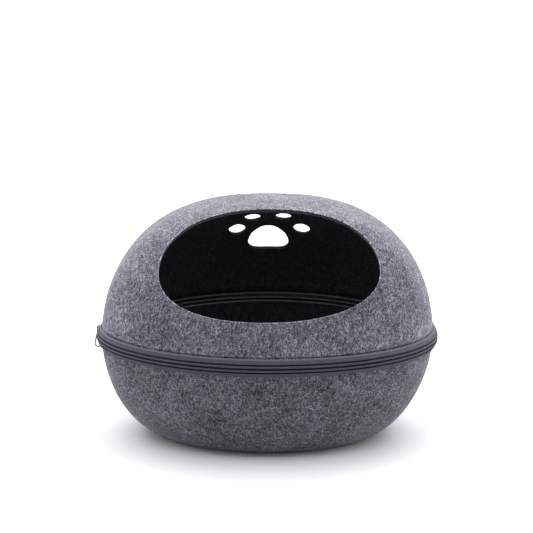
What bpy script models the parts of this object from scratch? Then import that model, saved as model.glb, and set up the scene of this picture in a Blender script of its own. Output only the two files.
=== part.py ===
"""Felt cat cave: a moulded felt dome on a moulded felt bowl, zipped together all the way round.

The dome has a large oval mouth in front and a paw-shaped group of vents through its back.
A thin black layer lines both shells. Metres, +Z up, the mouth faces -Y, and the origin is
on the surface that the cave stands on, under the middle of its depth.
"""

from math import asin, cos, pi, radians, sin

import bmesh
import bpy
from mathutils import Matrix, Vector

# --- Shells -------------------------------------------------------------------------------
FELT_WIDTH = 0.4517          # over the felt at the zip, side to side
FELT_DEPTH = 0.350           # over the felt at the zip, front to back
WIDEST_FORWARD = 0.0275      # how far the widest line lies in front of the middle
TOTAL_HEIGHT = 0.323
SEAM_HEIGHT = 0.1372         # height of the zip's slit
DOME_LEAN = 0.0028           # how far the dome's top leans to the right
BOWL_LEAN = 0.0033           # how far the bowl's bottom leans to the left
FELT_THICKNESS = 0.004
LINING_THICKNESS = 0.0016
CLEARANCE = 0.0003           # gap between pieces that touch
FELT_EDGE = 0.008            # from the slit to the edge of the felt, up and down

# Superellipse powers: 2 is an ellipse, more is squarer
PLAN_POWER_BACK = 1.95
PLAN_POWER_FRONT_LEFT = 1.885
PLAN_POWER_FRONT_RIGHT = 2.07    # the moulded right front corner is a little squarer
PLAN_POWER_TOP = 2.39
DOME_HEIGHT_POWER = 2.02
DOME_WIDTH_POWER = 2.87
BOWL_HEIGHT_POWER = 1.84
BOWL_WIDTH_POWER = 1.92
BOTTOM_SHARE = 0.59          # the flat bottom's size as a share of the size at the zip

STEPS_ROUND = 56
DOME_RINGS = 9
BOWL_RINGS = 8

# --- Mouth --------------------------------------------------------------------------------
MOUTH_HALF_WIDTH = 0.1454
MOUTH_UPPER_HEIGHT = 0.0872  # from its widest line up the slope
MOUTH_LOWER_HEIGHT = 0.0755
MOUTH_LOWER_POWER = 2.08      # of its lower half, a little fuller than an ellipse's 2
MOUTH_CENTRE = (0.0028, -0.1163, 0.2529)
MOUTH_TILT = radians(52.0)   # how far the cut's direction points up from the front
MOUTH_ROLL = radians(0.8)    # how much higher the right end lies
MOUTH_REACH_IN = 0.034
MOUTH_REACH_OUT = 0.110
MOUTH_STEPS = 44

# --- Vents --------------------------------------------------------------------------------
VENT_CENTRE = (0.0015, 0.1376, 0.2407)
VENT_TILT = radians(30.0)    # how far the vents face up from the back
VENT_REACH = 0.050
PAD_HALF_WIDTH = 0.0291
PAD_TOP = 0.0049
PAD_BOTTOM = -0.0378
# The pad's right side from its foot to its crown: share of the half width, and up
PAD_SIDE = (
    (0.62, -0.0374),
    (0.92, -0.0330),
    (1.00, -0.0248),
    (0.85, -0.0115),
    (0.57, -0.0023),
    (0.27, 0.0039),
)
# Each toe: across, up, half width, half height, tilt in degrees
TOES = (
    (-0.0446, -0.0004, 0.0120, 0.0100, 9.0),
    (-0.0221, 0.0230, 0.0122, 0.0077, 8.0),
    (0.0218, 0.0251, 0.0120, 0.0075, 0.0),
    (0.0477, 0.0012, 0.0122, 0.0100, -6.0),
)
TOE_STEPS = 16

# --- Zip ----------------------------------------------------------------------------------
RIB_REACH = 0.0067           # how far the ribs beside the slit stand outside the felt
# Sections are (distance outside the felt's face, height above the slit)
TAPE_SECTION = (
    (0.0004, 0.0125),
    (0.0020, 0.0126),
    (0.0060, 0.0061),
    (0.0049, 0.0049),
    (RIB_REACH, 0.0037),
    (RIB_REACH, 0.0012),
    (0.0050, 0.0003),
    (0.0040, 0.0003),
    (0.0040, 0.0046),
    (0.0004, 0.0098),
)
COIL_SECTION = (
    (0.0037, 0.0006),
    (0.0037, 0.0044),
    (0.0020, 0.0038),
    (0.0014, 0.0022),
    (0.0020, 0.0010),
)

# --- Slider and pull, near the left end of the zip ----------------------------------------
SLIDER_STEP = 26             # of STEPS_ROUND, from the right end by way of the back; it lies
                             # midway between this step and the next
SLIDER_LENGTH = 0.0090
SLIDER_HEIGHT = 0.0088
SLIDER_THICKNESS = 0.0010
SLIDER_CORNER = 0.0003       # rounding of the plate's edges
BRIDGE_WIRE = 0.0012
PULL_WIRE = 0.0018
BRIDGE_HALF_SPAN = 0.0033
BRIDGE_CORNER = 0.0008
PULL_NECK = 0.0050           # from the bridge down to where the loop widens
PULL_RING_RADIUS = 0.0043
PULL_RING_DROP = 0.0240      # from the bridge down to the middle of the round end
PULL_RING_OUTWARD = 0.0016   # how much farther off the felt the round end is than the bridge
PULL_SHOULDER = 10.0         # degrees above level where the round end meets the two sides

SHARP_ANGLE = radians(40.0)
WELD_DISTANCE = 0.00001

PART = "felt cat cave"
CUTTERS = "cutters"


def remove_scene_objects():
    for thing in list(bpy.data.objects):
        bpy.data.objects.remove(thing, do_unlink=True)


def new_collection(name):
    collection = bpy.data.collections.new(name)
    bpy.context.scene.collection.children.link(collection)


def new_material(name, colour, roughness, metallic=0.0):
    material = bpy.data.materials.new(name)
    material.use_nodes = True
    shader = material.node_tree.nodes["Principled BSDF"]
    shader.inputs["Base Color"].default_value = (*colour, 1.0)
    shader.inputs["Roughness"].default_value = roughness
    shader.inputs["Metallic"].default_value = metallic
    material.diffuse_color = (*colour, 1.0)
    return material


def add_object(name, mesh, collection, material=None):
    thing = bpy.data.objects.new(name, mesh)
    bpy.data.collections[collection].objects.link(thing)
    if material:
        mesh.materials.append(material)
    return thing


def mesh_from(bm, name):
    mesh = bpy.data.meshes.new(name)
    bm.to_mesh(mesh)
    bm.free()
    mesh.shade_smooth()
    mesh.set_sharp_from_angle(angle=SHARP_ANGLE)
    return mesh


def curve_to_mesh_object(curve_object, name, collection, material=None):
    """Turn a curve object into a welded closed mesh object, and remove the curve."""
    evaluated = curve_object.evaluated_get(bpy.context.evaluated_depsgraph_get())
    mesh = bpy.data.meshes.new_from_object(evaluated)
    bm = bmesh.new()
    bm.from_mesh(mesh)
    bmesh.ops.remove_doubles(bm, verts=bm.verts, dist=WELD_DISTANCE)
    bmesh.ops.recalc_face_normals(bm, faces=bm.faces)
    bm.to_mesh(mesh)
    bm.free()
    mesh.materials.clear()
    solid = add_object(name, mesh, collection, material)
    solid.matrix_world = curve_object.matrix_world
    bpy.data.objects.remove(curve_object, do_unlink=True)
    return solid


# --- The egg's form -----------------------------------------------------------------------

def plan_power(angle, rise):
    """The plan's power at an angle; each quarter turns into the top's power as it rises."""
    if sin(angle) > 0:
        power = PLAN_POWER_BACK
    else:
        power = PLAN_POWER_FRONT_RIGHT if cos(angle) > 0 else PLAN_POWER_FRONT_LEFT
    return power + (PLAN_POWER_TOP - power) * rise


def plan_point(angle, share, rise=0.0, proud=0.0):
    """A point of the oval plan: share 1 is its size at the zip, and proud is added outside."""
    across, along = cos(angle), sin(angle)
    power = plan_power(angle, rise)
    reach = (abs(across) ** power + abs(along) ** power) ** (-1.0 / power)
    half_depth = FELT_DEPTH / 2 + (WIDEST_FORWARD if along > 0 else -WIDEST_FORWARD)
    x = (FELT_WIDTH / 2 * share + proud) * reach * across
    y = -WIDEST_FORWARD + (half_depth * share + proud) * reach * along
    return x, y


def ring_angles():
    return [2 * pi * step / STEPS_ROUND for step in range(STEPS_ROUND)]


def felt_ring(height, proud=0.0):
    """Points round the felt's outer face at a height above the slit, or below it if negative."""
    rise = max(0.0, height / (TOTAL_HEIGHT - SEAM_HEIGHT))
    drop = max(0.0, -height / SEAM_HEIGHT)
    dome_share = (1 - rise ** DOME_HEIGHT_POWER) ** (1 / DOME_WIDTH_POWER)
    bowl_rounding = max(0.0, 1 - drop ** BOWL_HEIGHT_POWER) ** (1 / BOWL_WIDTH_POWER)
    bowl_share = BOTTOM_SHARE + (1 - BOTTOM_SHARE) * bowl_rounding
    share = dome_share if height > 0 else bowl_share
    lean = DOME_LEAN * rise - BOWL_LEAN * drop
    points = [plan_point(angle, share, rise, proud) for angle in ring_angles()]
    return [Vector((x + lean, y, SEAM_HEIGHT + height)) for x, y in points]


def heights_from_edge(depth, ring_count, to_the_end):
    """Heights from the felt's edge on, spaced evenly along a quarter round of this depth."""
    first = asin(FELT_EDGE / depth)
    last_step = ring_count - 1 if to_the_end else ring_count
    turns = [first + (pi / 2 - first) * step / last_step for step in range(ring_count)]
    return [depth * sin(turn) for turn in turns]


def dome_rings():
    heights = heights_from_edge(TOTAL_HEIGHT - SEAM_HEIGHT, DOME_RINGS, to_the_end=False)
    return [felt_ring(height) for height in heights]


def bowl_rings():
    heights = heights_from_edge(SEAM_HEIGHT, BOWL_RINGS, to_the_end=True)
    return [felt_ring(-height) for height in heights]


def shell_surface(rings, end_point, inward):
    """An open surface through the rings, closed by a fan at end_point, moved inward."""
    bm = bmesh.new()
    rows = [[bm.verts.new(point) for point in ring] for ring in rings]
    end = bm.verts.new(end_point)
    for row, next_row in zip(rows, rows[1:]):
        for step in range(STEPS_ROUND):
            beside = (step + 1) % STEPS_ROUND
            bm.faces.new((row[step], row[beside], next_row[beside]))
            bm.faces.new((row[step], next_row[beside], next_row[step]))
    for step in range(STEPS_ROUND):
        bm.faces.new((rows[-1][step], rows[-1][(step + 1) % STEPS_ROUND], end))
    bmesh.ops.recalc_face_normals(bm, faces=bm.faces)
    middle = Vector((0.0, 0.0, SEAM_HEIGHT))
    if bm.faces[0].normal.dot(bm.faces[0].calc_center_median() - middle) < 0:
        bmesh.ops.reverse_faces(bm, faces=bm.faces)
    bm.normal_update()
    moves = [-vert.normal * vert.calc_shell_factor() * inward for vert in bm.verts]
    for vert, move in zip(bm.verts, moves):
        vert.co += move
    return bm


def thicken(thing, thickness):
    solidify = thing.modifiers.new("thickness", "SOLIDIFY")
    solidify.thickness = thickness
    solidify.offset = -1.0
    solidify.use_even_offset = True


def cut(thing, cutters):
    for cutter in cutters:
        boolean = thing.modifiers.new("cut " + cutter.name, "BOOLEAN")
        boolean.operation = "DIFFERENCE"
        boolean.solver = "EXACT"
        boolean.object = cutter


def build_shell(name, rings, end_point, inward, thickness, material, cutters=()):
    bm = shell_surface(rings, end_point, inward)
    shell = add_object(name, mesh_from(bm, name), PART, material)
    thicken(shell, thickness)
    cut(shell, cutters)
    return shell


# --- Cutters ------------------------------------------------------------------------------

def hide_cutter(cutter):
    cutter.hide_render = True
    cutter.display_type = "WIRE"
    return cutter


def facing(centre, tilt, toward_back):
    """A frame at centre: X across, Y up the slope, and Z out of the wall."""
    side = 1.0 if toward_back else -1.0
    out = Vector((0.0, side * cos(tilt), sin(tilt)))
    up = Vector((0.0, -side * sin(tilt), cos(tilt)))
    across = up.cross(out)
    basis = Matrix((across, up, out)).transposed()
    return Matrix.Translation(centre) @ basis.to_4x4()


def oval_cutter(name, half_width, upper_height, lower_height, reach_in, reach_out, steps,
                matrix, lower_power=2.0):
    """An oval cylinder along the frame's Z, from reach_in behind it to reach_out before it."""
    bm = bmesh.new()
    depth = reach_in + reach_out
    bmesh.ops.create_cone(
        bm, cap_ends=True, segments=steps, radius1=1.0, radius2=1.0, depth=depth)
    for vert in bm.verts:
        half_height = upper_height if vert.co.y > 0 else lower_height
        if vert.co.y < 0:
            fullness = abs(vert.co.x) ** lower_power + abs(vert.co.y) ** lower_power
            vert.co.xy *= fullness ** (-1 / lower_power)
        vert.co.x *= half_width
        vert.co.y *= half_height
    bmesh.ops.translate(bm, vec=(0.0, 0.0, (reach_out - reach_in) / 2), verts=bm.verts)
    cutter = add_object(name, mesh_from(bm, name), CUTTERS)
    cutter.matrix_world = matrix
    return hide_cutter(cutter)


def mouth_cutter():
    matrix = facing(MOUTH_CENTRE, MOUTH_TILT, toward_back=False)
    matrix = matrix @ Matrix.Rotation(MOUTH_ROLL, 4, "Z")
    return oval_cutter("mouth cutter", MOUTH_HALF_WIDTH, MOUTH_UPPER_HEIGHT,
                       MOUTH_LOWER_HEIGHT, MOUTH_REACH_IN, MOUTH_REACH_OUT, MOUTH_STEPS, matrix,
                       MOUTH_LOWER_POWER)


def pad_cutter(matrix):
    """The paw's main pad: a flat foot, full sides and a rounded crown."""
    curve = bpy.data.curves.new("pad outline", "CURVE")
    curve.dimensions = "2D"
    curve.fill_mode = "BOTH"
    curve.extrude = VENT_REACH
    curve.resolution_u = 5
    right_side = [(share * PAD_HALF_WIDTH, up) for share, up in PAD_SIDE]
    left_side = [(-across, up) for across, up in reversed(right_side)]
    points = [(0.0, PAD_BOTTOM), *right_side, (0.0, PAD_TOP), *left_side]
    spline = curve.splines.new("BEZIER")
    spline.bezier_points.add(len(points) - 1)
    for knot, (across, up) in zip(spline.bezier_points, points):
        knot.co = (across, up, 0.0)
        knot.handle_left_type = "AUTO"
        knot.handle_right_type = "AUTO"
    spline.use_cyclic_u = True
    outline = bpy.data.objects.new("pad outline", curve)
    bpy.data.collections[CUTTERS].objects.link(outline)
    outline.matrix_world = matrix
    bpy.context.view_layer.update()
    return hide_cutter(curve_to_mesh_object(outline, "pad cutter", CUTTERS))


def vent_cutters():
    matrix = facing(VENT_CENTRE, VENT_TILT, toward_back=True)
    # The frame's X runs to the left when it faces back, so it is turned to keep +X across
    matrix = matrix @ Matrix.Diagonal((-1.0, 1.0, -1.0, 1.0))
    cutters = [pad_cutter(matrix)]
    for number, (across, up, half_width, half_height, tilt) in enumerate(TOES, start=1):
        place = matrix @ Matrix.Translation((across, up, 0.0)) @ Matrix.Rotation(
            radians(tilt), 4, "Z")
        cutters.append(oval_cutter(f"toe cutter {number}", half_width, half_height, half_height,
                                   VENT_REACH, VENT_REACH, TOE_STEPS, place))
    return cutters


# --- Zip ----------------------------------------------------------------------------------

def build_zip_ring(name, section, side, material):
    """A section swept round the zip line; side is 1 above the slit and -1 below it."""
    bm = bmesh.new()
    rings = [felt_ring(side * height, proud) for proud, height in section]
    columns = [[bm.verts.new(point) for point in column] for column in zip(*rings)]
    for column, beside in zip(columns, columns[1:] + columns[:1]):
        for index in range(len(section)):
            after = (index + 1) % len(section)
            bm.faces.new((column[index], column[after], beside[after], beside[index]))
    bmesh.ops.recalc_face_normals(bm, faces=bm.faces)
    return add_object(name, mesh_from(bm, name), PART, material)


def slider_frame():
    """The frame of the slider's place: X points out of the felt, Y along the zip."""
    angles = ring_angles()
    before, after = (Vector((*plan_point(angles[step], 1.0), 0.0))
                     for step in (SLIDER_STEP, SLIDER_STEP + 1))
    place = (before + after) / 2
    along = (after - before).normalized()
    up = Vector((0.0, 0.0, 1.0))
    basis = Matrix((along.cross(up), along, up)).transposed()
    return Matrix.Translation(place + SEAM_HEIGHT * up) @ basis.to_4x4()


def wire_curve(name, points, thickness, cyclic, frame):
    curve = bpy.data.curves.new(name, "CURVE")
    curve.dimensions = "3D"
    curve.bevel_depth = thickness / 2
    curve.bevel_resolution = 2
    curve.use_fill_caps = not cyclic
    spline = curve.splines.new("POLY")
    spline.points.add(len(points) - 1)
    for knot, point in zip(spline.points, points):
        knot.co = (*point, 1.0)
    spline.use_cyclic_u = cyclic
    wire = bpy.data.objects.new(name, curve)
    bpy.data.collections[PART].objects.link(wire)
    wire.matrix_world = frame
    bpy.context.view_layer.update()
    return wire


def plate_face():
    """How far the slider's outer face stands outside the felt."""
    return RIB_REACH + CLEARANCE + SLIDER_THICKNESS


def bridge_reach():
    """How far the middle of the bridge's bar stands outside the felt."""
    return plate_face() + CLEARANCE + PULL_WIRE + CLEARANCE + BRIDGE_WIRE / 2


def build_slider(material):
    """The plate over the chain with the bridge that carries the pull."""
    frame = slider_frame()
    bm = bmesh.new()
    bmesh.ops.create_cube(bm, size=1.0)
    bmesh.ops.scale(bm, vec=(SLIDER_THICKNESS, SLIDER_LENGTH, SLIDER_HEIGHT), verts=bm.verts)
    bmesh.ops.translate(
        bm, vec=(plate_face() - SLIDER_THICKNESS / 2, 0.0, 0.0), verts=bm.verts)
    slider = add_object("zip_slider", mesh_from(bm, "zip_slider"), PART, material)
    slider.matrix_world = frame
    bevel = slider.modifiers.new("rounded corners", "BEVEL")
    bevel.width = SLIDER_CORNER
    bevel.segments = 2
    foot = plate_face() - SLIDER_THICKNESS / 2
    points = (
        (foot, -BRIDGE_HALF_SPAN, 0.0),
        (bridge_reach() - BRIDGE_CORNER, -BRIDGE_HALF_SPAN, 0.0),
        (bridge_reach(), -BRIDGE_HALF_SPAN + BRIDGE_CORNER, 0.0),
        (bridge_reach(), BRIDGE_HALF_SPAN - BRIDGE_CORNER, 0.0),
        (bridge_reach() - BRIDGE_CORNER, BRIDGE_HALF_SPAN, 0.0),
        (foot, BRIDGE_HALF_SPAN, 0.0),
    )
    wire = wire_curve("bridge", points, BRIDGE_WIRE, cyclic=False, frame=frame)
    bridge = hide_cutter(curve_to_mesh_object(wire, "bridge tool", CUTTERS))
    union = slider.modifiers.new("bridge", "BOOLEAN")
    union.operation = "UNION"
    union.solver = "EXACT"
    union.object = bridge
    return slider


def arc(centre, radius, first, last, steps):
    """Points of an arc in the plane that stands out of the felt, angles in degrees."""
    points = []
    for step in range(steps + 1):
        angle = radians(first + (last - first) * step / steps)
        out = centre[0] + radius * cos(angle)
        points.append((out, 0.0, centre[1] + radius * sin(angle)))
    return points


def build_pull(material):
    """A drop-shaped wire loop that hangs from the bridge."""
    eye = BRIDGE_WIRE / 2 + CLEARANCE + PULL_WIRE / 2
    reach = bridge_reach()
    over_bridge = arc((reach, 0.0), eye, 180.0, 0.0, steps=6)
    neck_out = [(reach + eye, 0.0, -PULL_NECK)]
    ring_middle = (reach + PULL_RING_OUTWARD, -PULL_RING_DROP)
    round_end = arc(ring_middle, PULL_RING_RADIUS, PULL_SHOULDER, -180.0 - PULL_SHOULDER,
                    steps=14)
    neck_in = [(reach - eye, 0.0, -PULL_NECK)]
    points = over_bridge + neck_out + round_end + neck_in
    wire = wire_curve("pull wire", points, PULL_WIRE, cyclic=True, frame=slider_frame())
    return curve_to_mesh_object(wire, "zip_pull", PART, material)


def build_cave():
    remove_scene_objects()
    new_collection(PART)
    new_collection(CUTTERS)
    dome_felt = new_material("dome felt", (0.105, 0.110, 0.125), 0.95)
    bowl_felt = new_material("bowl felt", (0.085, 0.090, 0.103), 0.95)
    dome_lining = new_material("dome lining", (0.006, 0.006, 0.007), 0.90)
    bowl_lining = new_material("bowl lining", (0.007, 0.007, 0.008), 0.90)
    upper_tape = new_material("upper zip tape", (0.060, 0.064, 0.085), 0.70)
    lower_tape = new_material("lower zip tape", (0.055, 0.060, 0.080), 0.70)
    upper_coil = new_material("upper zip coil", (0.050, 0.053, 0.070), 0.45)
    lower_coil = new_material("lower zip coil", (0.048, 0.051, 0.068), 0.45)
    slider_metal = new_material("slider metal", (0.060, 0.060, 0.065), 0.35, 0.8)
    pull_metal = new_material("pull metal", (0.090, 0.090, 0.095), 0.30, 0.9)

    holes = [mouth_cutter(), *vent_cutters()]
    top = (DOME_LEAN, -WIDEST_FORWARD, TOTAL_HEIGHT)
    bottom = (-BOWL_LEAN, -WIDEST_FORWARD, 0.0)
    lining_depth = FELT_THICKNESS + CLEARANCE
    dome = dome_rings()
    bowl = bowl_rings()
    build_shell("felt_top", dome, top, 0.0, FELT_THICKNESS, dome_felt, holes)
    build_shell("lining_top", dome, top, lining_depth, LINING_THICKNESS, dome_lining, holes)
    build_shell("felt_base", bowl, bottom, 0.0, FELT_THICKNESS, bowl_felt)
    build_shell("lining_base", bowl, bottom, lining_depth, LINING_THICKNESS, bowl_lining)

    build_zip_ring("zip_tape_top", TAPE_SECTION, 1, upper_tape)
    build_zip_ring("zip_tape_base", TAPE_SECTION, -1, lower_tape)
    build_zip_ring("zip_coil_top", COIL_SECTION, 1, upper_coil)
    build_zip_ring("zip_coil_base", COIL_SECTION, -1, lower_coil)
    build_slider(slider_metal)
    build_pull(pull_metal)


build_cave()
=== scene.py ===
"""Looks of the felt cat cave: fine felt shells, black linings, the zip, and the photo's studio.

The forms repeat the solids' own formulas, so each fine piece lies on the solid it stands for.
Metres, +Z up, the mouth faces -Y, and the cave stands on the floor at z 0.
"""

from math import cos, pi, radians, sin, tau

import bpy
import numpy as np
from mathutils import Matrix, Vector, noise


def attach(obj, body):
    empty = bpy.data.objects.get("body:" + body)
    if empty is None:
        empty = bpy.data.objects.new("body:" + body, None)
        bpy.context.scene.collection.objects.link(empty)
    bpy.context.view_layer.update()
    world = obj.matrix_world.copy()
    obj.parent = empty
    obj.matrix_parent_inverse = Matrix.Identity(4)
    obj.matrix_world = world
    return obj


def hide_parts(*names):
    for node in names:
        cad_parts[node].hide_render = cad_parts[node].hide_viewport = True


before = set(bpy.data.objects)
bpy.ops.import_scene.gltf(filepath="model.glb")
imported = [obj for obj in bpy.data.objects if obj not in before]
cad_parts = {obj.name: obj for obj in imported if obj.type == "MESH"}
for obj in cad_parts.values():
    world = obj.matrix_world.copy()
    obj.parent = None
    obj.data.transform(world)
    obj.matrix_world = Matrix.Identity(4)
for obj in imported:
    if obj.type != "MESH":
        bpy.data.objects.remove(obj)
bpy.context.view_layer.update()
BODY = "root"

# --- Sizes of the solids ----------------------
FELT_WIDTH = 0.4517          # over the felt at the zip, side to side
FELT_DEPTH = 0.350           # over the felt at the zip, front to back
WIDEST_FORWARD = 0.0275      # how far the widest line lies in front of the middle
TOTAL_HEIGHT = 0.323
SEAM_HEIGHT = 0.1372         # height of the zip's slit
DOME_LEAN = 0.0028           # how far the dome's top leans to the right
BOWL_LEAN = 0.0033           # how far the bowl's bottom leans to the left
FELT_THICKNESS = 0.004
LINING_THICKNESS = 0.0016
CLEARANCE = 0.0003           # gap between pieces that touch
FELT_EDGE = 0.008            # from the slit to the edge of the felt, up and down

PLAN_POWER_BACK = 1.95
PLAN_POWER_FRONT_LEFT = 1.885
PLAN_POWER_FRONT_RIGHT = 2.07
PLAN_POWER_TOP = 2.39
DOME_HEIGHT_POWER = 2.02
DOME_WIDTH_POWER = 2.87
BOWL_HEIGHT_POWER = 1.84
BOWL_WIDTH_POWER = 1.92
BOTTOM_SHARE = 0.59          # the flat bottom's size as a share of the size at the zip

MOUTH_HALF_WIDTH = 0.1454
MOUTH_UPPER_HEIGHT = 0.0872
MOUTH_LOWER_HEIGHT = 0.0755
MOUTH_LOWER_POWER = 2.08     # of its lower half, a little fuller than an ellipse's 2
MOUTH_CENTRE = (0.0028, -0.1163, 0.2529)
MOUTH_TILT = radians(52.0)
MOUTH_ROLL = radians(0.8)
MOUTH_REACH_IN = 0.034

VENT_CENTRE = (0.0015, 0.1376, 0.2407)
VENT_TILT = radians(30.0)
VENT_REACH = 0.050
PAD_HALF_WIDTH = 0.0291
PAD_TOP = 0.0049
PAD_BOTTOM = -0.0378
PAD_SIDE = ((0.62, -0.0374), (0.92, -0.0330), (1.00, -0.0248),
            (0.85, -0.0115), (0.57, -0.0023), (0.27, 0.0039))
# Each toe: across, up, half width, half height, tilt in degrees
TOES = ((-0.0446, -0.0004, 0.0120, 0.0100, 9.0),
        (-0.0221, 0.0230, 0.0122, 0.0077, 8.0),
        (0.0218, 0.0251, 0.0120, 0.0075, 0.0),
        (0.0477, 0.0012, 0.0122, 0.0100, -6.0))

# --- Fineness of the shells -------------------
COLUMNS = 320                # round the cave
DOME_ROWS = 90
BOWL_ROWS = 58
BOTTOM_ROWS = 4              # rings of the flat bottom
EDGE_ROUNDING = 0.0011       # radius of the cut edges' corners
UNEVENNESS = 0.0007          # soft waves in the moulded walls
PILE = 0.00012               # height of the felt's own grain
SEAM_DIP = 0.0010            # how deep the stitching draws the felt in beside the tape
SEAM_DIP_HEIGHT = 0.0134     # of that line, from the zip's slit
SEAM_DIP_SPREAD = 0.0013
HOLE_SPREAD = 0.030          # how far from a hole the layers still lean along its cut
RIM_SHARES = (0.3, 0.6, 1.0)  # places along a rim's rounding
OUTER_RIM_ROWS = 3           # rows of a rim's rounding that still show the outer face; at the mouth they take a painted highlight
WALL_BOW = 0.0001            # how far the middle of a cut's wall swells
SEAM_LINE = 0.0008           # half height of the painted shade line in the felt's crease along the tape
NEAR_ZIP = 0.014             # the walls are even this close to the slit
FADE = 0.030                 # over which the soft waves grow to their full height
WAVE_SIZES = (0.085, 0.034)
GRAIN_SIZES = (0.0042, 0.009)
SNAP = 0.30                  # a point this share of an edge off a cut is moved onto it

# A shell's materials, in order; on the felt: painted shade on the mouth's cut wall, painted
# highlight on its rim, painted shade on the vents' walls, painted highlight on the edge at the
# slit, and a painted shade line in the crease beside the tape (the lining shares the vents' shade
# and the slit's highlight)
CUT_WALL, RIM, VENT_WALL, SEAM_EDGE, CREASE_SHADE = 1, 2, 3, 4, 5
RNG = np.random.default_rng(7)

ANGLES = np.arange(COLUMNS) * tau / COLUMNS


# --- Form -------------------------------------

def felt_points(height, angle, proud=0.0):
    """Points of the felt's outer face; height is above the zip's slit, negative below it."""
    rise = np.clip(height / (TOTAL_HEIGHT - SEAM_HEIGHT), 0.0, 1.0)
    drop = np.clip(-height / SEAM_HEIGHT, 0.0, 1.0)
    dome_share = (1 - rise ** DOME_HEIGHT_POWER) ** (1 / DOME_WIDTH_POWER)
    bowl_rounding = (1 - drop ** BOWL_HEIGHT_POWER) ** (1 / BOWL_WIDTH_POWER)
    bowl_share = BOTTOM_SHARE + (1 - BOTTOM_SHARE) * bowl_rounding
    share = np.where(np.asarray(height) > 0, dome_share, bowl_share)
    lean = DOME_LEAN * rise - BOWL_LEAN * drop
    return plan_points(angle, share, rise, proud) + np.stack(
        np.broadcast_arrays(lean, 0.0, SEAM_HEIGHT + height + 0 * angle), axis=-1)


def plan_points(angle, share, rise=0.0, proud=0.0):
    """Points of the oval plan at z 0; each quarter turns into the top's power as it rises."""
    across, along = np.cos(angle), np.sin(angle)
    front = np.where(across > 0, PLAN_POWER_FRONT_RIGHT, PLAN_POWER_FRONT_LEFT)
    power = np.where(along > 0, PLAN_POWER_BACK, front)
    power = power + (PLAN_POWER_TOP - power) * rise
    reach = (abs(across) ** power + abs(along) ** power) ** (-1.0 / power)
    half_depth = FELT_DEPTH / 2 + np.where(along > 0, WIDEST_FORWARD, -WIDEST_FORWARD)
    x = (FELT_WIDTH / 2 * share + proud) * reach * across
    y = -WIDEST_FORWARD + (half_depth * share + proud) * reach * along
    return np.stack(np.broadcast_arrays(x, y, 0.0 * x), axis=-1)


def even_heights(depth, rows, direction):
    """Heights from the felt's edge to the far end, evenly spaced along the side's profile."""
    first = np.arcsin(FELT_EDGE / depth)
    dense = first + (pi / 2 - first) * (1 - (1 - np.linspace(0.0, 1.0, 4000)) ** 3)
    profile = felt_points(direction * depth * np.sin(dense), np.float64(0.0))
    steps = np.linalg.norm(np.diff(profile, axis=0), axis=1)
    length = np.concatenate(([0.0], np.cumsum(steps)))
    turns = np.interp(np.linspace(0.0, length[-1], rows + 1), length, dense)
    close = SEAM_DIP_HEIGHT + SEAM_DIP_SPREAD * np.arange(-4, 7) * 0.6
    return direction * np.sort(np.concatenate((depth * np.sin(turns), close)))


def ring_faces(row_count, end):
    """Quads between rows of COLUMNS points, and a fan to the point numbered end."""
    faces = []
    for row in range(row_count - 1):
        for column in range(COLUMNS):
            beside = (column + 1) % COLUMNS
            faces.append((row * COLUMNS + column, row * COLUMNS + beside,
                          (row + 1) * COLUMNS + beside, (row + 1) * COLUMNS + column))
    last = (row_count - 1) * COLUMNS
    for column in range(COLUMNS):
        faces.append((last + column, last + (column + 1) % COLUMNS, end))
    return faces


def vertex_normals(points, faces):
    normals = np.zeros_like(points)
    for corners in (3, 4):
        chosen = np.array([face for face in faces if len(face) == corners])
        if len(chosen) == 0:
            continue
        diagonal_a = points[chosen[:, 2]] - points[chosen[:, 0]]
        diagonal_b = points[chosen[:, -1]] - points[chosen[:, 1]]
        across = np.cross(diagonal_a, diagonal_b) if corners == 4 else np.cross(
            points[chosen[:, 1]] - points[chosen[:, 0]], diagonal_a)
        for corner in range(corners):
            np.add.at(normals, chosen[:, corner], across)
    return normals / np.linalg.norm(normals, axis=1, keepdims=True)


def fractal(points, size, seed):
    """Smooth noise from -1 to 1 with features of this size."""
    shift = Vector((seed * 7.3, seed * 3.1, seed * 5.7))
    return np.array([noise.noise(Vector(point) / size + shift) for point in points])


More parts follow.
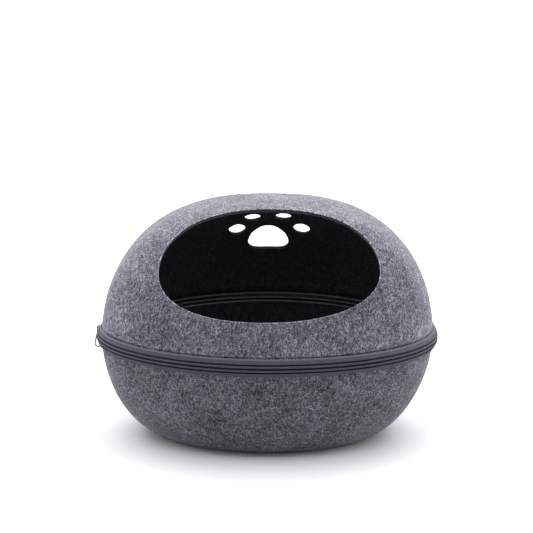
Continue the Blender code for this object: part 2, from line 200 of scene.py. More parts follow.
class Sheet:
    """The outer face of a felt shell: points, their normals, faces and the holes' rims."""

    def __init__(self, heights, upward):
        rows = [felt_points(np.float64(height), ANGLES) for height in heights[:-1]]
        if upward:
            end = np.array([[DOME_LEAN, -WIDEST_FORWARD, TOTAL_HEIGHT]])
        else:
            rows.append(felt_points(np.float64(heights[-1]), ANGLES))
            middle = np.array((-BOWL_LEAN, 0.0, 0.0))
            for share in np.linspace(BOTTOM_SHARE, 0.0, BOTTOM_ROWS + 1)[1:-1]:
                rows.append(plan_points(ANGLES, share) + middle)
            end = np.array([[-BOWL_LEAN, -WIDEST_FORWARD, 0.0]])
        self.points = np.concatenate([*rows, end])
        self.faces = ring_faces(len(rows), len(self.points) - 1)
        if not upward:
            self.faces = [tuple(reversed(face)) for face in self.faces]
        self.normals = vertex_normals(self.points, self.faces)
        self.faces_up = upward
        self.edge = list(range(COLUMNS))
        self.rims = []
        self.lean = np.zeros_like(self.points)

    def make_uneven(self):
        """Soft waves that fade out at the zip and on the floor, and a fine grain."""
        z = self.points[:, 2]
        free = np.clip((abs(z - SEAM_HEIGHT) - NEAR_ZIP) / FADE, 0, 1) * np.clip(z / FADE, 0, 1)
        broad, narrow = WAVE_SIZES
        fine, coarse = GRAIN_SIZES
        waves = 0.65 * fractal(self.points, broad, 1) + 0.35 * fractal(self.points, narrow, 2)
        grain = 0.6 * fractal(self.points, fine, 3) + 0.4 * fractal(self.points, coarse, 4)
        off = abs(z - SEAM_HEIGHT) - SEAM_DIP_HEIGHT
        dip = SEAM_DIP * np.exp(-(off / SEAM_DIP_SPREAD) ** 2) * (z > SEAM_HEIGHT)
        self.points += self.normals * (free * UNEVENNESS * waves - dip)[:, None]
        self.grain = np.clip(z / 0.004, 0, 1) * PILE * grain

    def cut(self, hole):
        """Cuts a hole whose distance(points) is positive off it, and keeps its rim."""
        values = hole.distance(self.points)
        points, normals = list(self.points), list(self.normals)
        grain = list(self.grain)
        crossing = {tuple(sorted(edge)) for face in self.faces
                    for edge in zip(face, face[1:] + face[:1])
                    if values[edge[0]] * values[edge[1]] < 0}
        nearest = {}
        for a, b in sorted(crossing):
            share = values[a] / (values[a] - values[b])
            near, far, travel = (a, b, share) if share < 0.5 else (b, a, 1 - share)
            if travel < SNAP and travel < nearest.get(near, (1.0,))[0]:
                nearest[near] = (travel, far)
        for near, (travel, far) in nearest.items():
            points[near] = self.points[near] * (1 - travel) + self.points[far] * travel
            values[near] = 0.0
        made = {}

        def meet(a, b):
            key = tuple(sorted((a, b)))
            if key not in made:
                share = values[key[0]] / (values[key[0]] - values[key[1]])
                made[key] = len(points)
                for kept in (points, normals, grain):
                    kept.append(kept[key[0]] * (1 - share) + kept[key[1]] * share)
            return made[key]

        faces = []
        for face in self.faces:
            if max(values[corner] for corner in face) <= 0:
                continue
            if min(values[corner] for corner in face) >= 0:
                faces.append(face)
                continue
            kept = []
            for a, b in zip(face, face[1:] + face[:1]):
                if values[a] >= 0:
                    kept.append(a)
                if values[a] * values[b] < 0:
                    kept.append(meet(a, b))
            faces.append(tuple(kept))
        on_rim = set(made.values()) | {i for i in range(len(values)) if values[i] == 0.0}
        self.points, self.normals = np.array(points), np.array(normals)
        self.normals /= np.linalg.norm(self.normals, axis=1, keepdims=True)
        self.grain = np.array(grain)
        self.faces = faces
        self.rims.append((hole, boundary_loop(faces, on_rim)))

    def settle(self):
        """Drops the points that no face uses, and works out how the layers lean at the holes."""
        used = sorted({corner for face in self.faces for corner in face})
        renumber = {old: new for new, old in enumerate(used)}
        self.points, self.normals = self.points[used], self.normals[used]
        self.grain = self.grain[used]
        self.faces = [tuple(renumber[corner] for corner in face) for face in self.faces]
        self.edge = [renumber[corner] for corner in self.edge]
        self.rims = [(hole, [renumber[i] for i in loop]) for hole, loop in self.rims]
        self.lean = np.zeros_like(self.points)
        for hole, _ in self.rims:
            near = 1 - np.clip(hole.distance(self.points) / HOLE_SPREAD, 0, 1)
            near = near * near * (3 - 2 * near)
            facing = np.clip(self.normals @ hole.out, 0.35, 1.0)
            along_cut = self.normals - hole.out / facing[:, None]
            stronger = near > np.linalg.norm(self.lean, axis=1)
            self.lean = np.where(stronger[:, None], along_cut * near[:, None], self.lean)

    def layer(self, depth):
        """The sheet's points at a depth below the outer face."""
        return self.points + (self.lean - self.normals) * depth


def boundary_loop(faces, on_rim):
    """The points of the hole's rim in order round it."""
    after = {}
    for face in faces:
        for a, b in zip(face, face[1:] + face[:1]):
            if a in on_rim and b in on_rim:
                after[a, b] = True
    onward = {a: b for a, b in after if (b, a) not in after}
    start = min(onward)
    loop = [start]
    while onward[loop[-1]] != start:
        loop.append(onward[loop[-1]])
    return loop


# --- Holes ------------------------------------

class Hole:
    """A cut through the wall along one direction; a shape in its plane gives its outline."""

    def __init__(self, centre, tilt, toward_back, reach_in, reach_out, shape):
        side = 1.0 if toward_back else -1.0
        # The mouth's wall gets painted shade and its rim a painted highlight; a vent's wall and rim
        # both get painted shade.
        self.wall = VENT_WALL if toward_back else CUT_WALL
        self.rim = VENT_WALL if toward_back else RIM
        self.centre = np.array(centre)
        self.out = np.array((0.0, side * cos(tilt), sin(tilt)))
        self.up = np.array((0.0, -side * sin(tilt), cos(tilt)))
        self.across = np.array((1.0, 0.0, 0.0))
        self.reach_in, self.reach_out = reach_in, reach_out
        self.shape = shape

    def distance(self, points):
        """Metres off the hole's edge, in its plane; the rounding is cut away too."""
        offset = np.asarray(points) - self.centre
        depth = offset @ self.out
        flat = self.shape(offset @ self.across, offset @ self.up) - EDGE_ROUNDING
        away = (depth < -self.reach_in) | (depth > self.reach_out)
        return np.where(away, 1.0, flat)


def oval(across, up, half_width, upper_height, lower_height, tilt, lower_power=2.0):
    """A shape: distance outside a tilted oval."""
    def distance(x, y):
        dx, dy = x - across, y - up
        u = dx * cos(tilt) + dy * sin(tilt)
        v = dy * cos(tilt) - dx * sin(tilt)
        half_height = np.where(v > 0, upper_height, lower_height)
        power = np.where(v > 0, 2.0, lower_power)
        share_u, share_v = abs(u) / half_width, abs(v) / half_height
        share = np.maximum((share_u ** power + share_v ** power) ** (1 / power), 1e-9)
        slope = np.hypot(share_u ** (power - 1) / half_width, share_v ** (power - 1) / half_height)
        return (share - 1) * share ** (power - 1) / np.maximum(slope, 1e-9)
    return distance


def smooth_loop(points, steps):
    """A closed smooth curve through the points, with steps places between two of them."""
    points = np.asarray(points, dtype=float)
    before, after = np.roll(points, 1, axis=0), np.roll(points, -1, axis=0)
    slopes = (after - before) / 2
    share = np.linspace(0.0, 1.0, steps, endpoint=False)[None, :, None]
    start, end = points[:, None], after[:, None]
    start_slope, end_slope = slopes[:, None], np.roll(slopes, -1, axis=0)[:, None]
    curve = (start * (2 * share ** 3 - 3 * share ** 2 + 1) + end * (3 * share ** 2 - 2 * share ** 3)
             + start_slope * (share ** 3 - 2 * share ** 2 + share)
             + end_slope * (share ** 3 - share ** 2))
    return curve.reshape(-1, points.shape[1])


def pad_shape():
    """A shape: distance outside the paw's main pad."""
    right = [(share * PAD_HALF_WIDTH, up) for share, up in PAD_SIDE]
    left = [(-across, up) for across, up in reversed(right)]
    outline = smooth_loop([(0.0, PAD_BOTTOM), *right, (0.0, PAD_TOP), *left], 6)
    following = np.roll(outline, -1, axis=0)

    def distance(x, y):
        place = np.stack((x, y), axis=-1)
        nearest = np.full(len(place), np.inf)
        inside = np.zeros(len(place), dtype=bool)
        for a, b in zip(outline, following):
            along = b - a
            share = np.clip((place - a) @ along / (along @ along), 0.0, 1.0)
            gap = np.linalg.norm(place - a - share[:, None] * along, axis=1)
            nearest = np.minimum(nearest, gap)
            crosses = (a[1] > y) != (b[1] > y)
            if a[1] != b[1]:
                inside ^= crosses & (x < a[0] + (y - a[1]) * along[0] / along[1])
        return np.where(inside, -nearest, nearest)
    return distance


def all_holes():
    mouth = oval(0.0, 0.0, MOUTH_HALF_WIDTH, MOUTH_UPPER_HEIGHT, MOUTH_LOWER_HEIGHT, MOUTH_ROLL,
                 MOUTH_LOWER_POWER)
    holes = [Hole(MOUTH_CENTRE, MOUTH_TILT, False, MOUTH_REACH_IN, 1.0, mouth)]
    shapes = [pad_shape()]
    for across, up, half_width, half_height, tilt in TOES:
        shapes.append(oval(across, up, half_width, half_height, half_height, radians(tilt)))
    holes += [Hole(VENT_CENTRE, VENT_TILT, True, VENT_REACH, VENT_REACH, shape)
              for shape in shapes]
    return holes


# --- Meshes -----------------------------------

def add_object(name, data):
    thing = bpy.data.objects.new(name, data)
    bpy.context.scene.collection.objects.link(thing)
    return thing


def add_mesh(name, points, faces, materials, material_of_face=None, uv=None):
    mesh = bpy.data.meshes.new(name)
    mesh.from_pydata([tuple(point) for point in points], [], faces)
    for material in materials:
        mesh.materials.append(material)
    if material_of_face is not None:
        mesh.polygons.foreach_set("material_index", material_of_face)
    mesh.shade_smooth()
    if uv is not None:
        layer = mesh.uv_layers.new(name="cloth")
        corner = np.empty(len(mesh.loops), dtype=np.int32)
        mesh.loops.foreach_get("vertex_index", corner)
        layer.data.foreach_set("uv", np.asarray(uv)[corner].ravel())
    thing = add_object(name, mesh)
    mesh.validate()
    return thing


def stitch(faces, loop_a, loop_b, tags, tag):
    """Quads between two closed loops of the same length."""
    for index in range(len(loop_a)):
        after = (index + 1) % len(loop_a)
        faces.append((loop_a[index], loop_a[after], loop_b[after], loop_b[index]))
        tags.append(tag)


def rim_rows(outer, inner, normals, loop, hole):
    """Rows of points from the outer face over a rounded corner, down the cut and back in."""
    top, bottom = outer[loop], inner[loop]
    along = np.roll(top, -1, axis=0) - np.roll(top, 1, axis=0)
    away = np.cross(along, normals[loop])
    away /= np.linalg.norm(away, axis=1, keepdims=True)
    off = np.sign(hole.distance(top + away * 0.002) - hole.distance(top))
    away *= off[:, None]
    corner_top = top - away * EDGE_ROUNDING
    corner_bottom = bottom - away * EDGE_ROUNDING
    down = corner_bottom - corner_top
    length = np.linalg.norm(down, axis=1, keepdims=True)
    turn = np.minimum(EDGE_ROUNDING / length, 0.42)

    def bend(face, corner, end, share):
        return (1 - share) ** 2 * face + 2 * share * (1 - share) * corner + share ** 2 * end

    end_top, end_bottom = corner_top + down * turn, corner_bottom - down * turn
    return [*(bend(top, corner_top, end_top, share) for share in RIM_SHARES),
            corner_top + down * 0.5 - away * WALL_BOW,
            *(bend(bottom, corner_bottom, end_bottom, share) for share in reversed(RIM_SHARES))]


def build_shell(name, sheet, depth_out, depth_in, materials, pile):
    """A closed shell between two depths below the sheet, with rounded rims at its holes."""
    outer = sheet.layer(depth_out)
    inner = sheet.layer(depth_in)
    rough = sheet.normals * sheet.grain[:, None] * pile
    outer = outer + rough
    inner = inner - rough * 0.6
    count = len(outer)
    points = [outer, inner]
    faces = [*sheet.faces, *(tuple(count + i for i in reversed(face)) for face in sheet.faces)]
    # Faces along the crease beside the tape get a painted shade line.
    off_slit = outer[:, 2] - SEAM_HEIGHT - SEAM_DIP_HEIGHT
    crease_shaded = [max(abs(off_slit[corner]) for corner in face) < SEAM_LINE for face in sheet.faces]
    tags = [CREASE_SHADE if deep else 0 for deep in crease_shaded] + [0] * len(sheet.faces)
    total = 2 * count
    for hole, loop in sheet.rims:
        above = list(loop)
        for number, row in enumerate(rim_rows(outer, inner, sheet.normals, loop, hole)):
            points.append(row)
            ids = list(range(total, total + len(loop)))
            total += len(loop)
            # The rounding's first rows take the rim's material and the rest the wall's: painted
            # highlight and painted shade at the mouth, painted shade at the vents.
            tag = hole.rim if number < OUTER_RIM_ROWS else hole.wall
            stitch(faces, list(reversed(above)), list(reversed(ids)), tags, tag)
            above = ids
        stitch(faces, list(reversed(above)), [count + i for i in reversed(loop)], tags, hole.wall)
    # The edge at the slit gets a painted highlight on the felt and on the lining.
    lower = [count + i for i in sheet.edge]
    if sheet.faces_up:
        stitch(faces, list(reversed(sheet.edge)), list(reversed(lower)), tags, SEAM_EDGE)
    else:
        stitch(faces, sheet.edge, lower, tags, SEAM_EDGE)
    return add_mesh(name, np.concatenate(points), faces, materials, tags)


# --- Fibres -----------------------------------
FIBRE_COUNTS = {"top": 20000, "base": 16000}
FIBRE_SEGMENTS = 3
FIBRE_LENGTHS = (0.0022, 0.0062)
FIBRE_WIDTHS = (0.00006, 0.00013)
LOOSE_SHARE = 0.07           # of the fibres, which stand up at one end
LOOSE_LIFTS = (0.0005, 0.0014)
FLAT_LIFTS = (0.0001, 0.00028)
BARE_FLOOR = 0.004           # no fibres this close to the floor
BARE_ZIP = 0.013             # nor this close to the slit


def felt_fibres(name, sheet, count, materials):
    """Short loose fibres on the felt, as thin ribbons that lie nearly flat; one joined mesh."""
    triangles = np.array([(face[0], face[i], face[i + 1]) for face in sheet.faces
                          for i in range(1, len(face) - 1)])
    a, b, c = (sheet.points[triangles[:, corner]] for corner in range(3))
    area = np.linalg.norm(np.cross(b - a, c - a), axis=1) / 2
    bare = (a[:, 2] < BARE_FLOOR) | (abs(a[:, 2] - SEAM_HEIGHT) < BARE_ZIP)
    area[bare] = 0.0
    chosen = RNG.choice(len(triangles), size=count, p=area / area.sum())
    u, v = RNG.random(count), RNG.random(count)
    u, v = np.where(u + v > 1, 1 - u, u), np.where(u + v > 1, 1 - v, v)
    root = a[chosen] + (b - a)[chosen] * u[:, None] + (c - a)[chosen] * v[:, None]
    normal = sheet.normals[triangles[chosen, 0]]
    tangent = np.cross(normal, RNG.normal(size=(count, 3)))
    tangent /= np.linalg.norm(tangent, axis=1, keepdims=True)
    side = np.cross(normal, tangent)
    length = RNG.uniform(*FIBRE_LENGTHS, count)
    width = RNG.uniform(*FIBRE_WIDTHS, count)
    bend = RNG.normal(0.0, 0.18, count) * length
    loose = RNG.random(count) < LOOSE_SHARE
    lift = np.where(loose, RNG.uniform(*LOOSE_LIFTS, count), RNG.uniform(*FLAT_LIFTS, count))
    rows = []
    for step in range(FIBRE_SEGMENTS + 1):
        along = step / FIBRE_SEGMENTS - 0.5
        rise = 0.00003 + lift * (np.where(loose, along + 0.5, 0.25 - along * along) * 1.6)
        middle = (root + tangent * (along * length)[:, None] + normal * rise[:, None]
                  + side * (bend * (along * along - 0.1))[:, None])
        half = width * (0.35 + 0.65 * sin(pi * step / FIBRE_SEGMENTS) ** 0.5)
        rows += [middle + side * half[:, None], middle - side * half[:, None]]
    points = np.stack(rows, axis=1).reshape(-1, 3)
    first = np.arange(count)[:, None] * len(rows)
    quads = np.concatenate([first + 2 * step + np.array((0, 1, 3, 2))
                            for step in range(FIBRE_SEGMENTS)])
    shade = RNG.choice(len(materials), size=count, p=(0.5, 0.3, 0.2))
    return add_mesh(name, points, quads.tolist(), materials, np.tile(shade, FIBRE_SEGMENTS))


# --- Zip --------------------------------------
# Sections are (distance outside the felt's face, height above the slit)
TAPE_OUTLINE = (
    (0.0003, 0.0122), (0.0010, 0.0125), (0.0019, 0.0120), (0.0030, 0.0108), (0.0039, 0.0097),
    (0.0056, 0.0068), (0.0053, 0.0062), (0.0041, 0.0057), (0.0041, 0.0045), (0.0057, 0.0041),
    (0.0066, 0.0035), (0.0068, 0.0027), (0.0066, 0.0018), (0.0061, 0.0012), (0.0052, 0.0009),
    (0.0044, 0.0006), (0.0042, 0.00006), (0.0039, 0.00006), (0.0039, 0.0012), (0.0039, 0.0044),
    (0.0026, 0.0066), (0.0004, 0.0098),
)
# A material's number and the outline's points between which it shows: painted shade in the deep
# groove and slit, painted highlight on the raised top edge
TAPE_SPANS = ((1, 6, 9), (1, 13, 17), (2, 0, 3))
TAPE_STEPS = 2               # places between two points of the outline
INNER_TAPE_EDGE = 0.0079     # where the tape shows from under the lining, off the slit
INNER_HEMS = {"top": 0.0022, "base": 0.0040}
# The hem's material, light to paint highlights, and the outline's points between which it shows
INNER_HEM_SPAN = ((1, 2, 6),)
BINDING = (-0.0062, -0.0092)  # of the bowl's lining, as a section's point
BINDING_RADIUS = 0.0007
COIL_TURNS = 620
COIL_STEPS = 9               # places in one turn of the coil
COIL_MIDDLE = (0.0024, 0.0022)
COIL_RADII = (0.0011, 0.0023)
COIL_WIRE = 0.00038
STITCH_PITCH = 0.0031
STITCH_HEIGHT = 0.0104       # of the row of stitches, above the slit
STITCH_PROUD = 0.00345
STITCH_SHARE = 0.36          # half a stitch's length, as a share of the pitch
# Along one stitch: place from -1 to 1, rise and radius
STITCH_RINGS = ((-1.0, -0.00012, 0.00008), (-0.8, 0.00004, 0.00022), (0.0, 0.00014, 0.00027),
                (0.8, 0.00004, 0.00022), (1.0, -0.00012, 0.00008))
STITCH_SIDES = 6
ZIP_LINE = 0.001             # height above the slit at which the ring's length is taken


def ring_length():
    points = felt_points(np.float64(ZIP_LINE), ANGLES)
    return np.linalg.norm(points - np.roll(points, 1, axis=0), axis=1).sum()


def even_angles(count):
    """Angles round the zip line at even distances along it."""
    dense = np.linspace(0.0, tau, 4001)
    points = felt_points(np.full_like(dense, ZIP_LINE), dense)
    length = np.concatenate(([0.0], np.cumsum(np.linalg.norm(np.diff(points, axis=0), axis=1))))
    return np.interp(np.arange(count) * length[-1] / count, length, dense)


def build_tape(name, side, corners, spans, materials):
    """A strip along the zip, side 1 above the slit and -1 below; spans give faces a material."""
    outline = smooth_loop(corners, TAPE_STEPS)
    tags = [0] * len(outline)
    for tag, first, last in spans:
        for index in range(first * TAPE_STEPS, last * TAPE_STEPS):
            tags[index] = tag
    count = len(outline)
    rings = np.stack([felt_points(np.float64(side * height), ANGLES, proud)
                      for proud, height in outline], axis=1)
    across = np.concatenate(([0.0], np.cumsum(np.linalg.norm(np.diff(outline, axis=0), axis=1))))
    around = np.arange(COLUMNS) * ring_length() / COLUMNS
    uv = np.stack(np.broadcast_arrays(around[:, None], across[None, :]), axis=-1).reshape(-1, 2)
    faces = []
    for column in range(COLUMNS):
        beside = (column + 1) % COLUMNS
        for index in range(count):
            after = (index + 1) % count
            face = (column * count + index, column * count + after,
                    beside * count + after, beside * count + index)
            faces.append(face if side > 0 else tuple(reversed(face)))
    return add_mesh(name, rings.reshape(-1, 3), faces, materials, tags * COLUMNS, uv)


def inner_tape_outline(hem):
    """The tape's inner leaf, from its fastened edge down to a rolled hem off the slit."""
    return ((-0.0042, INNER_TAPE_EDGE), (-0.0042, hem - 0.0006), (-0.0047, hem - 0.0010),
            (-0.0056, hem - 0.0006), (-0.0059, hem), (-0.0056, hem + 0.0006),
            (-0.0047, hem + 0.0010), (-0.0047, INNER_TAPE_EDGE))


def build_binding(name, material):
    """The fine roll round the upper edge of the bowl's lining."""
    proud, height = BINDING
    path = felt_points(np.float64(height), ANGLES, proud)
    points, quads = tube(path, BINDING_RADIUS, 8)
    return add_mesh(name, points, quads.tolist(), [material])


def tube(path, radius, sides):
    """Points and quads of a closed tube round a closed path."""
    tangent = np.roll(path, -1, axis=0) - np.roll(path, 1, axis=0)
    tangent /= np.linalg.norm(tangent, axis=1, keepdims=True)
    outward = path - (np.roll(path, 2, axis=0) + np.roll(path, -2, axis=0)) / 2
    outward -= tangent * (outward * tangent).sum(axis=1, keepdims=True)
    outward /= np.linalg.norm(outward, axis=1, keepdims=True)
    sideways = np.cross(tangent, outward)
    turns = np.arange(sides) * tau / sides
    points = (path[:, None] + radius * (np.cos(turns)[None, :, None] * outward[:, None]
              + np.sin(turns)[None, :, None] * sideways[:, None])).reshape(-1, 3)
    ring = np.arange(len(path))[:, None] * sides
    step = np.arange(sides)[None, :]
    following = (step + 1) % sides
    next_ring = np.roll(ring, -1, axis=0)
    quads = np.stack(np.broadcast_arrays(ring + step, ring + following,
                                         next_ring + following, next_ring + step), axis=-1)
    return points, quads.reshape(-1, 4)


def capped_rings(start, rings, sides):
    """Quads between rings of points that follow one another, and a face on each end."""
    faces = []
    for ring in range(rings - 1):
        for step in range(sides):
            after = (step + 1) % sides
            base = start + ring * sides
            faces.append((base + step, base + sides + step, base + sides + after, base + after))
    faces.append(tuple(start + step for step in range(sides)))
    faces.append(tuple(start + (rings - 1) * sides + step for step in reversed(range(sides))))
    return faces


def build_coil(name, side, material):
    """The zip's nylon coil; the two coils' heads lie between each other at the slit."""
    count = COIL_TURNS * COIL_STEPS
    angles = even_angles(count)
    turn = np.arange(count) * tau / COIL_STEPS + (pi if side > 0 else 0.0)
    proud = COIL_MIDDLE[0] + COIL_RADII[0] * np.cos(turn)
    height = COIL_MIDDLE[1] + COIL_RADII[1] * np.sin(turn)
    half_pitch = 0.0 if side > 0 else pi / COIL_TURNS
    path = felt_points(side * height, angles + half_pitch, proud)
    points, quads = tube(path, COIL_WIRE, 4)
    return add_mesh(name, points, quads.tolist(), [material])


def build_stitches(name, side, material):
    """A row of stitches that holds the tape on the felt."""
    count = round(ring_length() / STITCH_PITCH)
    angles = even_angles(count)
    half_turn = STITCH_SHARE * STITCH_PITCH / (FELT_WIDTH / 2)
    points, faces = [], []
    sides = STITCH_SIDES
    places, rises, sizes = np.array(STITCH_RINGS).T
    rings = len(STITCH_RINGS)
    for angle in angles:
        middle = felt_points(np.full(rings, side * STITCH_HEIGHT), angle + places * half_turn,
                             STITCH_PROUD + rises)
        out = middle[rings // 2] - felt_points(np.float64(side * STITCH_HEIGHT), angle, 0.0)
        out /= np.linalg.norm(out)
        along = middle[-1] - middle[0]
        along /= np.linalg.norm(along)
        up = np.cross(out, along)
        start = len(points)
        for place, size in zip(middle, sizes):
            for step in range(sides):
                turn = tau * step / sides
                points.append(place + size * (out * cos(turn) + up * sin(turn)))
        faces += capped_rings(start, rings, sides)
    return add_mesh(name, points, faces, [material])


# --- Slider and pull --------------------------
STEPS_ROUND = 56             # of the solids' plan, from the right end by way of the back
SLIDER_STEP = 26             # the slider lies midway to the next, just behind the left end
SLIDER_ENDS = (tau * SLIDER_STEP / STEPS_ROUND, tau * (SLIDER_STEP + 1) / STEPS_ROUND)
SLIDER_LENGTH = 0.0090
SLIDER_HEIGHT = 0.0088
SLIDER_THICKNESS = 0.0010
RIB_REACH = 0.0067
BRIDGE_WIRE = 0.0012
PULL_WIRE = 0.0018
BRIDGE_HALF_SPAN = 0.0033
PULL_NECK = 0.0050
PULL_RING_RADIUS = 0.0043
PULL_RING_DROP = 0.0240
PULL_RING_OUTWARD = 0.0016
PULL_SHOULDER = 10.0         # degrees above level where the round end meets the two sides
# The shield's right edge as shares of its half length and half height, and its layers, each
# a distance out of the back face and a share of the outline
SHIELD_EDGE = ((-1.00, 0.42), (-0.86, 0.66), (-0.35, 0.86), (0.30, 1.00), (0.80, 0.88),
               (1.00, 0.50))
SHIELD_LAYERS = ((0.0, 0.90), (0.00018, 1.0), (0.00075, 1.0), (0.00097, 0.93), (0.00105, 0.60),
                 (0.00108, 0.20))
BRIDGE_ROOT = 0.0006         # how deep the bridge's ends sit in the plate
BRIDGE_STEPS = 8
PLATE_FACE = RIB_REACH + CLEARANCE + SLIDER_THICKNESS
BRIDGE_REACH = PLATE_FACE + CLEARANCE + PULL_WIRE + CLEARANCE + BRIDGE_WIRE / 2


def at_slider(points):
    """Puts points given as (out of the felt, along the zip, up) at the slider's place."""
    before, after = felt_points(np.zeros(2), np.array(SLIDER_ENDS))
    place = (before + after) / 2
    along = (after - before) / np.linalg.norm(after - before)
    up = np.array((0.0, 0.0, 1.0))
    return place + np.asarray(points, dtype=float) @ np.stack((np.cross(along, up), along, up))


def build_slider(material):
    """The slider's shield with rolled lips over the ribs, and the bridge over it."""
    half_length, half_height = SLIDER_LENGTH / 2, SLIDER_HEIGHT / 2
    corners = [*SHIELD_EDGE, *((along, -up) for along, up in reversed(SHIELD_EDGE))]
    outline = smooth_loop([(along * half_length, up * half_height) for along, up in corners], 4)
    points = []
    for out, share in SHIELD_LAYERS:
        for along, up in outline:
            points.append((PLATE_FACE - SLIDER_THICKNESS + out, along * share, up * share))
    faces = capped_rings(0, len(SHIELD_LAYERS), len(outline))
    shield = add_mesh("slider_shield", at_slider(points), faces, [material])
    arch = [(PLATE_FACE - BRIDGE_ROOT, -BRIDGE_HALF_SPAN, 0.0)]
    for step in range(BRIDGE_STEPS + 1):
        turn = pi * step / BRIDGE_STEPS
        arch.append((PLATE_FACE + (BRIDGE_REACH - PLATE_FACE) * sin(turn) ** 0.35,
                     -BRIDGE_HALF_SPAN * cos(turn), 0.0))
    arch.append((PLATE_FACE - BRIDGE_ROOT, BRIDGE_HALF_SPAN, 0.0))
    bridge = add_wire("slider_bridge", arch, BRIDGE_WIRE / 2, False, material)
    return shield, bridge


def add_wire(name, points, radius, cyclic, material):
    curve = bpy.data.curves.new(name, "CURVE")
    curve.dimensions = "3D"
    curve.bevel_depth = radius
    curve.bevel_resolution = 4
    curve.use_fill_caps = not cyclic
    spline = curve.splines.new("POLY")
    spline.points.add(len(points) - 1)
    for knot, point in zip(spline.points, at_slider(points)):
        knot.co = (*point, 1.0)
    spline.use_cyclic_u = cyclic
    spline.use_smooth = True
    curve.materials.append(material)
    return add_object(name, curve)


def arc(out, up, radius, first, last, steps):
    turns = np.radians(np.linspace(first, last, steps + 1))
    return [(out + radius * cos(turn), 0.0, up + radius * sin(turn)) for turn in turns]


def build_pull(material):
    """A drop-shaped wire loop that hangs from the bridge."""
    eye = BRIDGE_WIRE / 2 + CLEARANCE + PULL_WIRE / 2
    path = arc(BRIDGE_REACH, 0.0, eye, 180.0, 0.0, 10)
    path.append((BRIDGE_REACH + eye, 0.0, -PULL_NECK / 2))
    path.append((BRIDGE_REACH + eye, 0.0, -PULL_NECK))
    path += arc(BRIDGE_REACH + PULL_RING_OUTWARD, -PULL_RING_DROP, PULL_RING_RADIUS,
                PULL_SHOULDER, -180.0 - PULL_SHOULDER, 28)
    path.append((BRIDGE_REACH - eye, 0.0, -PULL_NECK))
    path.append((BRIDGE_REACH - eye, 0.0, -PULL_NECK / 2))
    return add_wire("pull_loop", path, PULL_WIRE / 2, True, material)


# --- Materials --------------------------------

class Nodes:
    """Short calls for a material's node tree."""

    def __init__(self, name):
        self.material = bpy.data.materials.new(name)
        self.material.use_nodes = True
        self.tree = self.material.node_tree
        self.shader = self.tree.nodes["Principled BSDF"]

    def add(self, kind, inputs=None, **settings):
        node = self.tree.nodes.new(kind)
        for key, value in settings.items():
            setattr(node, key, value)
        for key, value in (inputs or {}).items():
            self.put(value, node.inputs[key])
        return node

    def put(self, value, socket):
        if isinstance(value, bpy.types.NodeSocket):
            self.tree.links.new(value, socket)
        else:
            socket.default_value = value

    def math(self, operation, a, b=0.0, clamp=False):
        node = self.add("ShaderNodeMath", {0: a, 1: b}, operation=operation, use_clamp=clamp)
        return node.outputs[0]

    def spread(self, value, low, high, to_low=0.0, to_high=1.0):
        node = self.add("ShaderNodeMapRange", {"Value": value, "From Min": low, "From Max": high,
                                               "To Min": to_low, "To Max": to_high})
        return node.outputs["Result"]

    def noise(self, vector, scale, detail=2.0, roughness=0.5):
        node = self.add("ShaderNodeTexNoise", {"Vector": vector, "Scale": scale, "Detail": detail,
                                               "Roughness": roughness})
        return node.outputs["Fac"]

    def place(self):
        return self.add("ShaderNodeTexCoord").outputs["Object"]

    def ramp(self, value, stops):
        node = self.add("ShaderNodeValToRGB", {"Fac": value})
        while len(node.color_ramp.elements) < len(stops):
            node.color_ramp.elements.new(0.5)
        for element, (position, colour) in zip(node.color_ramp.elements, stops):
            element.position = position
            element.color = (*colour, 1.0)
        return node.outputs["Color"]

    def bump(self, height, distance, strength=1.0):
        node = self.add("ShaderNodeBump", {"Height": height, "Distance": distance,
                                           "Strength": strength})
        self.put(node.outputs["Normal"], self.shader.inputs["Normal"])

    def surface(self, **values):
        for key, value in values.items():
            self.put(value, self.shader.inputs[key.replace("_", " ")])


STREAK_TURNS = ((0.3, 0.9, 0.2), (1.5, 0.4, 2.2), (2.4, 1.9, 0.7),
                (0.8, 2.5, 1.4), (1.9, 1.2, 3.0), (2.9, 0.1, 1.8))
STREAK_LENGTH = 4.5          # of a fibre bundle, in widths
STREAK_SIZE = 560.0          # noise cells a metre across a bundle


def dim(colour, factor):
    return tuple(channel * factor for channel in colour)


def streaks(nodes, place):
    """Six noises, each drawn out along its own direction, as bundles of fibres lie in felt."""
    made = []
    for turn in STREAK_TURNS:
        turned = nodes.add("ShaderNodeMapping", {"Vector": place, "Rotation": turn,
                           "Scale": (STREAK_LENGTH, 1.0, 1.0)}, vector_type="TEXTURE")
        made.append(nodes.noise(turned.outputs["Vector"], STREAK_SIZE, 1.0, 0.4))
    return made


